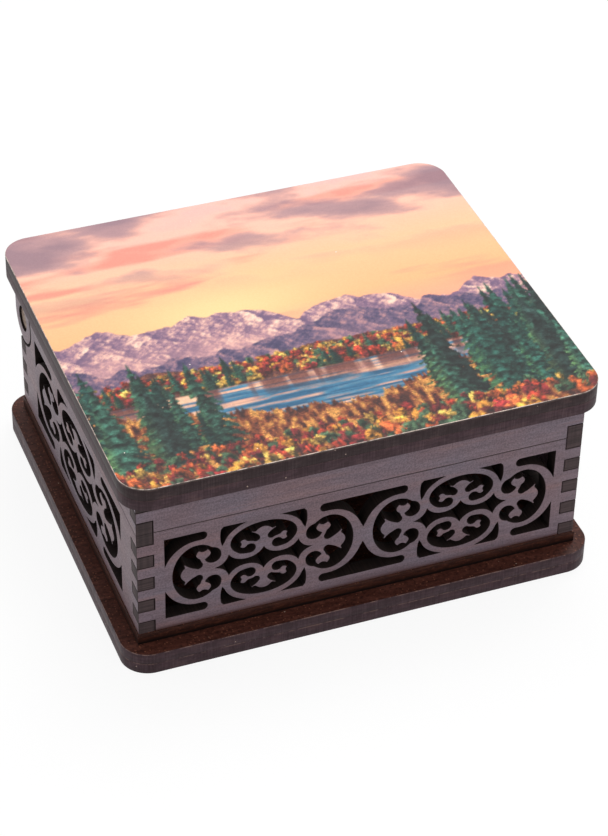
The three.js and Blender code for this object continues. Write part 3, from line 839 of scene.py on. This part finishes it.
def print_face():
    """Printed face under a thin gloss: the sheet's own colour attribute. Its fourth channel says how
    strongly the fine speckle of leaves, needles and stones breaks up the colour."""
    finish = Finish("print_face")
    picture = finish.node("ShaderNodeVertexColor")
    picture.layer_name = "picture"
    plain, strength = picture.outputs["Color"], picture.outputs["Alpha"]
    light = finish.ramp(finish.cells(1900)[1], (0.0, 0.35), (0.45, 0.8), (0.8, 1.0), (1.0, 1.5))
    colour = finish.mix(strength, plain, finish.mix(1.0, plain, light, "MULTIPLY"))
    grain = finish.noise(2400, 3, 0.6)
    colour = finish.mix(0.1, colour, finish.ramp(grain, (0.3, 0.25), (0.7, 0.75)), "OVERLAY")
    colour = finish.mix(finish.specks(200, 0.035, (5, 2, 0)), colour, (246, 236, 226))
    return finish.done(colour, finish.noise(90, 2), 0.03, 2 * BUMP_DEPTH, Roughness=0.35,
                       Specular_IOR_Level=0.22, Coat_Weight=0.12, Coat_Roughness=0.08)


def lattice_noise(u, v, cells, octaves, seed):
    """Fractal value noise from 0 to 1: lattices, each twice as fine and half as strong as the last."""
    draw = np.random.default_rng(seed)
    total, weight, strength = 0, 0, 1.0
    for octave in range(octaves):
        across, rise = (count * 2 ** octave for count in cells)
        lattice = draw.random((rise + 2, across + 2))
        x, y = np.clip(u, 0, 1) * across, np.clip(v, 0, 1) * rise
        column, row = x.astype(int), y.astype(int)
        x, y = x - column, y - row
        x, y = x * x * (3 - 2 * x), y * y * (3 - 2 * y)
        low = lattice[row, column] * (1 - x) + lattice[row, column + 1] * x
        high = lattice[row + 1, column] * (1 - x) + lattice[row + 1, column + 1] * x
        total = total + strength * (low * (1 - y) + high * y)
        weight += strength
        strength /= 2
    return total / weight


def smooth(value, low, high):
    """Smooth step from 0 at low to 1 at high."""
    t = np.clip((value - low) / (high - low), 0, 1)
    return t * t * (3 - 2 * t)


def tint(value, *stops):
    """Colour of a value along a row of stops."""
    places = [place for place, _ in stops]
    colours = np.array([colour for _, colour in stops], float)
    return np.stack([np.interp(value, places, colours[:, k]) for k in range(3)], axis=-1)


def lay(picture, mask, colour, fine=0.0):
    """Picture with a colour and a strength of fine speckle laid over it where the mask is 1."""
    mask = mask[..., None]
    colour = np.broadcast_to(np.asarray(colour, float), (*mask.shape[:-1], 3))
    layer = np.concatenate([colour, np.full(mask.shape, 255.0 * fine)], axis=-1)
    return picture * (1 - mask) + layer * mask


def sky(u, v):
    """Evening sky: bands of colour by height, a glow, coral stripes above the hills, and cloud banks near
    the top, mauve inside and lit at their rims."""
    colour = tint(v, (0.3, (244, 150, 132)), (0.42, (247, 162, 138)), (0.54, (252, 182, 130)),
                  (0.68, (254, 192, 144)), (0.84, (250, 190, 166)), (1.0, (238, 184, 176)))
    picture = np.concatenate([colour, np.zeros((*u.shape, 1))], axis=-1)
    glow = np.exp(-((u - 0.36) / 0.2) ** 2 - ((v - 0.56) / 0.09) ** 2)
    picture = lay(picture, 0.7 * glow, (255, 222, 158))
    veil = lattice_noise(u * 0.9 + v * 0.1, v, cells=(3, 14), octaves=5, seed=11)
    picture = lay(picture, 0.8 * smooth(veil, 0.48, 0.66) * smooth(v, 0.42, 0.6), (234, 138, 122))
    bank = lattice_noise(u, v * 0.85 + u * 0.12, cells=(4, 12), octaves=7, seed=23)
    body = tint(bank, (0.42, (255, 212, 178)), (0.5, (222, 164, 150)), (0.58, (172, 134, 138)),
                (0.7, (140, 112, 124)))
    return lay(picture, 0.85 * smooth(bank, 0.38, 0.56) * smooth(v, 0.6, 0.88), body)


def ridge(u, height, rise, cells, seed):
    """Height of a skyline along the picture: a level plus fractal noise."""
    return height + rise * (lattice_noise(u, u * 0, (cells, 1), 6, seed) - 0.5)


def relief(u, v, cells, seed):
    """Light from the left on rugged ground: the slope of two leaning noises folded into crests."""
    across, rise = cells
    crests = 0
    for lean, weight in RELIEF_LEANS:
        along = (u + lean * v + 1) / RELIEF_SPAN
        noise = lattice_noise(along, v, (RELIEF_SPAN * across, rise), 6, seed)
        crests = crests - weight * np.abs(2 * noise - 1)
        seed += 1
    slope = np.gradient(crests, axis=1)
    return np.clip(0.5 + slope / (4 * slope.std()), 0, 1)


def hazed(colour, below, reach, haze):
    """Colour that fades halfway into haze with the distance below a skyline."""
    share = 0.5 * smooth(below, 0.2 * reach, reach)[..., None]
    return colour * (1 - share) + np.array(haze) * share


def hills(picture, u, v):
    """Three ranges: far peaks and a blue-mauve range with haze at their feet, and a near wooded one."""
    for hill in RANGES:
        below = ridge(u, **hill["skyline"]) - v
        ground = tint(relief(u, v, **hill["relief"]), *hill["tones"])
        if hill["haze"]:
            ground = hazed(ground, below, **hill["haze"])
        picture = lay(picture, smooth(below, 0, SKYLINE_SOFT), ground, hill["fine"])
    return picture


def crown(a, b, seed):
    """Mask and light of a leafy crown: a ragged ellipse, and clumps lit from the upper left."""
    clumps = lattice_noise((a + 1) / 2, (b + 1) / 2, cells=(6, 6), octaves=4, seed=seed)
    mask = smooth(0.86 - np.hypot(a, b) + 1.1 * (clumps - 0.5), 0, 0.1)
    return mask, np.clip(0.62 + 0.42 * (b - 0.55 * a) + 2.2 * (clumps - 0.5), 0.22, 1.35)[..., None]


def fir(a, t, seed):
    """Mask and light of a fir: a narrow cone whose ragged sides step out in tiers, warmer on its left."""
    needles = lattice_noise((a + 1) / 2, t, cells=(12, 30), octaves=3, seed=seed)
    tier = 1 - np.mod(t * FIR_TIERS + 1.1 * np.abs(a) + 0.5 * np.sign(a), 1)
    reach = (1 - t) ** 0.85 * (0.42 + 0.4 * tier + 0.9 * (needles - 0.5))
    light = np.clip(0.45 + 0.55 * tier - 0.55 * a + 1.6 * (needles - 0.5), 0.15, 1.6)[..., None]
    lit, dark = smooth(-a, 0.05, 0.5)[..., None], smooth(a, -0.5, -0.05)[..., None]
    return smooth(reach - np.abs(a), 0, 0.05), light * (np.array([1.25, 1.0, 0.75]) * lit + dark)


def plant(picture, u, v, shape, x, y, width, height, low, colour, seed):
    """Draws one tree: its shape gives a mask and a light over a patch of the picture, from -1 to 1 across
    and from low to 1 up."""
    rows = slice(*np.searchsorted(v[:, 0], (y + low * height, y + height)))
    patch = rows, slice(*np.searchsorted(u[0], (x - width, x + width)))
    a, b = (u[patch] - x) / width, (v[patch] - y) / height
    if a.size:
        mask, light = shape(a, b, seed)
        picture[patch] = lay(picture[patch], mask, np.clip(light * colour, 0, 255), FINE_LEAVES)


def wood_edge(picture, u, v, count, low, high, size, seed):
    """A row of leafy crowns along a shore, the farther ones drawn first."""
    draw = np.random.default_rng(seed)
    for number, foot in enumerate(np.sort(draw.uniform(low, high, count))[::-1]):
        near = (high - foot) / (high - low)
        width = size * (0.55 + 0.75 * near) * draw.uniform(0.7, 1.3)
        colour = np.array(AUTUMN[draw.integers(len(AUTUMN))]) * draw.uniform(0.8, 1.15)
        x = draw.uniform(-0.02, 1.02)
        height = width * draw.uniform(1.1, 1.9)
        plant(picture, u, v, crown, x, foot + width, width, height, -1, colour, seed + number)


def firs(picture, u, v, count, places, feet, heights, seed):
    """Firs at random places along some stretches of a shore, the farther ones drawn first."""
    draw = np.random.default_rng(seed)
    for number, foot in enumerate(np.sort(draw.uniform(*feet, count))[::-1]):
        x = draw.uniform(*places[draw.integers(len(places))])
        tall = draw.uniform(*heights)
        colour = np.array(EVERGREEN[draw.integers(len(EVERGREEN))]) * draw.uniform(0.8, 1.2)
        width = FIR_SPREAD * tall + FIR_LEAST
        plant(picture, u, v, fir, x, foot, width, tall, 0, colour, seed + number)


def water(picture, u, v):
    """Lake below the far shore: blue and coral ripples, and the woods' broken reflection."""
    level = smooth(WATER_LEVEL - v, 0, SKYLINE_SOFT)
    ripple = lattice_noise(u, v, cells=(10, 150), octaves=5, seed=31)
    lake = tint(np.clip(ripple + 1.2 * (v - 0.2), 0, 1), (0.3, (38, 88, 122)), (0.48, (70, 132, 164)),
                (0.6, (198, 146, 136)), (0.72, (250, 196, 160)))
    picture = lay(picture, level, lake, 0.15)
    shade = lattice_noise(u, v * 0.3, cells=(40, 14), octaves=4, seed=33)
    mask = level * 0.8 * smooth(v, 0.21, 0.275) * smooth(shade, 0.36, 0.58)
    return lay(picture, mask, (92, 44, 42), 0.4)


def meadow(picture, u, v):
    """Near bank: tufted grass in autumn colours whose upper rim breaks into single blades."""
    bank = ridge(u, height=0.15, rise=0.1, cells=4, seed=41) + 0.09 * (2 * u - 1) ** 2
    blades = 0.035 * lattice_noise(u + 0.1 * v, v * 0, cells=(210, 1), octaves=2, seed=44)
    tuft = lattice_noise(u, v, cells=(90, 40), octaves=5, seed=42)
    grass = tint(tuft, (0.3, (62, 30, 28)), (0.5, (136, 70, 44)), (0.68, (226, 158, 82)))
    return lay(picture, smooth(bank + blades - v, 0, BANK_SOFT), grass, 0.8)


def landscape(u, v):
    """Evening lake among autumn woods: sky, hills, far woods, water, near bank, firs and near crowns."""
    picture = hills(sky(u, v), u, v)
    wood_edge(picture, u, v, count=520, low=0.275, high=0.36, size=0.0125, seed=100)
    firs(picture, u, v, count=46, places=[(0.0, 0.34), (0.5, 1.0)], feet=(0.27, 0.33),
         heights=(0.05, 0.1), seed=2000)
    picture = meadow(water(picture, u, v), u, v)
    firs(picture, u, v, count=52, places=[(-0.02, 0.26), (0.7, 1.02), (0.84, 1.02)], feet=(0.03, 0.15),
         heights=(0.15, 0.4), seed=500)
    wood_edge(picture, u, v, count=240, low=-0.03, high=0.075, size=0.017, seed=900)
    return picture


def picture_colours(a, b):
    """Colours of the landscape at places from -1 to 1: painted once on a fine even grid, then averaged
    over the samples round each place."""
    wide, tall = PRINT_COLUMNS * PRINT_SAMPLES, PRINT_ROWS * PRINT_SAMPLES
    u, v = np.meshgrid((np.arange(wide) + 0.5) / wide, (np.arange(tall) + 0.5) / tall)
    picture = landscape(u, v) / 255
    column, row = (a + 1) / 2 * wide - 0.5, (b + 1) / 2 * tall - 0.5
    around = np.arange(PRINT_SAMPLES) - PRINT_SAMPLES // 2
    colour = 0
    for dx in around:
        for dy in around:
            near = picture[np.clip(np.rint(row + dy), 0, tall - 1).astype(int),
                           np.clip(np.rint(column + dx), 0, wide - 1).astype(int)]
            colour = colour + near / PRINT_SAMPLES ** 2
    return np.concatenate([linear(colour[:, :3]), colour[:, 3:]], axis=1).astype(np.float32)


def printed_top(name, materials):
    """Printed sheet: rows across the plate, closer together at the round ends, each as wide as the
    outline is there; then the rim is carried down to the underside."""
    low, high = corners("lid_print")
    half_x, half_y = high[0] - RIM_R, high[1] - RIM_R
    radius = PLATE_R - RIM_R
    turn = np.linspace(0, math.pi / 2, PRINT_CORNER_ROWS + 1)[1:]
    ends = half_y - radius + radius * np.sin(turn)
    straight = np.linspace(-(half_y - radius), half_y - radius, PRINT_ROWS)
    y = np.concatenate([-ends[::-1], straight, ends])
    over = np.maximum(np.abs(y) - (half_y - radius), 0)
    width = half_x - radius + np.sqrt(np.maximum(radius ** 2 - over ** 2, 0))
    x = np.linspace(-1, 1, PRINT_COLUMNS)[None] * width[:, None]
    top = np.stack([x, np.broadcast_to(y[:, None], x.shape), np.full(x.shape, high[2])], axis=2)
    top = top.reshape(-1, 3)
    grid = np.arange(x.size).reshape(x.shape)
    cells = quads(grid[:-1, :-1], grid[:-1, 1:], grid[1:, 1:], grid[1:, :-1])
    loop = np.concatenate([grid[0], grid[1:, -1], grid[-1, -2::-1], grid[-2:0:-1, 0]])
    turn = np.linspace(0, math.pi / 2, ARRIS_STEPS + 1)[1:]
    out = np.append(RIM_R * np.sin(turn), RIM_R)
    drop = np.append(RIM_R * (1 - np.cos(turn)), high[2] - low[2])
    border = top[loop, :2]
    level = np.broadcast_to((high[2] - drop)[:, None, None], (len(out), len(loop), 1))
    rim = np.concatenate([border[None] - inward(border)[None] * out[:, None, None], level], axis=2)
    index = np.concatenate([loop[None], len(top) + np.arange(len(out) * len(loop)).reshape(len(out), -1)])
    after = np.roll(index, -1, axis=1)
    edge = quads(index[:-1], index[1:], after[1:], after[:-1])
    under = index[-1:, ::-1]
    points = np.concatenate([top, rim.reshape(-1, 3)])
    kinds = np.append(np.zeros(len(cells)), np.ones(len(edge) + 1))
    mesh = new_mesh(name, points, kinds, cells, edge, under)
    colours = picture_colours(points[:, 0] / high[0], points[:, 1] / high[1])
    mesh.attributes.new("picture", "FLOAT_COLOR", "POINT").data.foreach_set("color", colours.ravel())
    return finished(mesh, materials)


def dowel(name, low, high, material):
    """Hinge pin: a profile with rounded ends turned about the hinge axis."""
    inset, depth = (run[::-1] for run in quarter_round(PIN_ARRIS))
    x = np.concatenate([low[0] + inset, high[0] - inset[::-1]])
    r = PIN_R - np.concatenate([depth, depth[::-1]])
    sides = 4 * CORNER_STEPS
    angle = np.arange(sides) * 2 * math.pi / sides
    points = np.stack([np.broadcast_to(x[:, None], (len(x), sides)),
                       AXIS_Y + r[:, None] * np.cos(angle), AXIS_Z + r[:, None] * np.sin(angle)], axis=2)
    index = np.arange(len(x) * sides).reshape(len(x), sides)
    after = np.roll(index, -1, axis=1)
    edge = quads(index[:-1], after[:-1], after[1:], index[1:])
    return finished(new_mesh(name, points, 0, edge, index[:1, ::-1], index[-1:]), [material])


def fitted(piece, node, body):
    """The piece stands for a CAD node, which it hides, and moves with its body."""
    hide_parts(node)
    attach(piece, body)


def build_walls():
    """Four fretwork walls and the four strips under the lid."""
    along_x = [stained_face("X"), burnt_edge("Y"), charred_edge("Y")]
    along_y = [stained_face("Y"), burnt_edge("X"), charred_edge("X")]
    at_front, at_back = (RIGHT, FRONT, BODY_HALF_Y), (LEFT, BACK, BODY_HALF_Y)
    at_right, at_left = (BACK, RIGHT, BODY_HALF_X), (FRONT, LEFT, BODY_HALF_X)
    front_holes = fretwork(2, FRONT_MARGIN - BODY_HALF_X, BODY_HALF_X - FRONT_MARGIN)
    back_holes = fretwork(2, BACK_MARGIN - BODY_HALF_X, BODY_HALF_X - BACK_MARGIN)
    side_holes = fretwork(1, SIDE_MARGIN_FRONT - BODY_HALF_Y, BODY_HALF_Y - SIDE_MARGIN_BACK)
    side_wall, side_strip, pin_hole = side_wall_outline(), side_strip_outline(), pin_hole_outline()
    left_holes = [hole * FLIP for hole in side_holes]
    boards = [
        ("front_wall", "box", front_wall_outline(), front_holes, at_front, along_x),
        ("back_wall", "box", back_wall_outline(), back_holes, at_back, along_x),
        ("right_wall", "box", side_wall, side_holes, at_right, along_y),
        ("lid_front_strip", "lid", front_strip_outline(), [], at_front, along_x),
        ("lid_back_strip", "lid", back_strip_outline(), [], at_back, along_x),
        ("lid_right_strip", "lid", side_strip, [pin_hole], at_right, along_y),
        ("left_wall", "box", side_wall * FLIP, left_holes, at_left, along_y),
        ("lid_left_strip", "lid", side_strip * FLIP, [pin_hole * FLIP], at_left, along_y),
    ]
    for node, body, outline, holes, stance, finishes in boards:
        place = facing(*stance, WALL_Z if body == "box" else STRIP_Z)
        piece = board(f"{node}_board", outline, holes, WALL_T, place, finishes)
        if node == "back_wall":
            add_shells(piece, pin_seats())
        fitted(piece, node, body)


def build_plates():
    """Base and lid of two sheets each, the floor, the printed sheet and the hinge pins."""
    lacquered = lacquer()
    for node, body in PLATES.items():
        low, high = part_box(node)
        if node in EDGE_TONES:
            outline = plate_outline(high.x - low.x, high.y - low.y)
            edge = plate_edge(node, low.z, high.z, *EDGE_TONES[node])
        else:
            outline = rectangle(low.x, high.x, low.y, high.y)
            edge = floor_edge(low.z, high.z)
        place = facing(RIGHT, UP, high.z, up=BACK)
        piece = board(f"{node}_board", outline, [], high.z - low.z, place, [lacquered, edge])
        fitted(piece, node, body)
    fitted(printed_top("printed_top", [print_face(), print_edge()]), "lid_print", "lid")
    pin_finish = end_grain()
    for side in ("left", "right"):
        piece = dowel(f"hinge_dowel_{side}", *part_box(f"hinge_pin_{side}"), pin_finish)
        fitted(piece, f"hinge_pin_{side}", "box")


def place_camera():
    """Camera that looks along an azimuth and elevation, slid across, lifted and rolled about its axis."""
    back = np.array([math.sin(AZIMUTH) * math.cos(ELEVATION), -math.cos(AZIMUTH) * math.cos(ELEVATION),
                     math.sin(ELEVATION)])
    right = np.cross(-back, UP)
    right /= np.linalg.norm(right)
    up = np.cross(back, right)
    position = right * SLIDE + up * LIFT + back * DISTANCE
    rolled_right = math.cos(ROLL) * right + math.sin(ROLL) * up
    rolled_up = -math.sin(ROLL) * right + math.cos(ROLL) * up
    data = bpy.data.cameras.new("camera")
    data.sensor_fit = "VERTICAL"
    data.sensor_height = SENSOR
    data.lens = LENS
    data.clip_start = CLIP_START
    camera = added("camera", data)
    turn = np.eye(4)
    turn[:3] = np.stack([rolled_right, rolled_up, back, position], axis=1)
    camera.matrix_world = Matrix(turn.tolist())
    bpy.context.scene.camera = camera


def seen_white(nodes, share):
    """A share for rays from the camera, in gloss and through glass, and nothing for all other rays."""
    path = nodes.node("ShaderNodeLightPath")
    seen = path.outputs["Is Camera Ray"]
    for name in ("Is Glossy Ray", "Is Transmission Ray"):
        seen = nodes.math("MAXIMUM", seen, path.outputs[name])
    return nodes.math("MULTIPLY", seen, share)


def build_stage():
    """Pale floor that keeps a faint shadow, and a white world."""
    square = FLOOR_HALF * np.array([(-1, -1, 0), (1, -1, 0), (1, 1, 0), (-1, 1, 0)])
    material = bpy.data.materials.new("floor")
    material.use_nodes = True
    nodes = Nodes(material.node_tree)
    nodes.tree.nodes.clear()
    paper = nodes.node("ShaderNodeBsdfDiffuse", Color=(PAPER, PAPER, PAPER, 1))
    white = nodes.node("ShaderNodeEmission", Strength=1)
    blend = nodes.node("ShaderNodeMixShader", Fac=seen_white(nodes, FLOOR_WHITE))
    nodes.join(blend.inputs[1], paper.outputs[0])
    nodes.join(blend.inputs[2], white.outputs[0])
    nodes.node("ShaderNodeOutputMaterial", Surface=blend.outputs[0])
    floor = finished(new_mesh("floor", square, 0, np.array([[0, 1, 2, 3]])), [material])

    world = bpy.data.worlds.new("studio")
    bpy.context.scene.world = world
    world.use_nodes = True
    nodes = Nodes(world.node_tree)
    strength = nodes.node("ShaderNodeMapRange", Value=seen_white(nodes, 1), To_Min=WORLD_LIGHT, To_Max=1)
    nodes.feed(nodes.tree.nodes["Background"], Color=(1, 1, 1, 1), Strength=strength.outputs[0])


def build_lamps():
    """Large soft key from above, a low lamp from the left and a fill from the front."""
    for lamp in LAMPS:
        data = bpy.data.lights.new(lamp["name"], "AREA")
        data.energy = lamp["power"]
        data.size = lamp["size"]
        piece = added(lamp["name"], data)
        piece.location = lamp["place"]
        piece.rotation_euler = (Vector(LAMP_AIM) - piece.location).to_track_quat("-Z", "Y").to_euler()


place_camera()
build_stage()
build_lamps()
build_walls()
build_plates()

bpy.context.scene.view_settings.view_transform = "Standard"
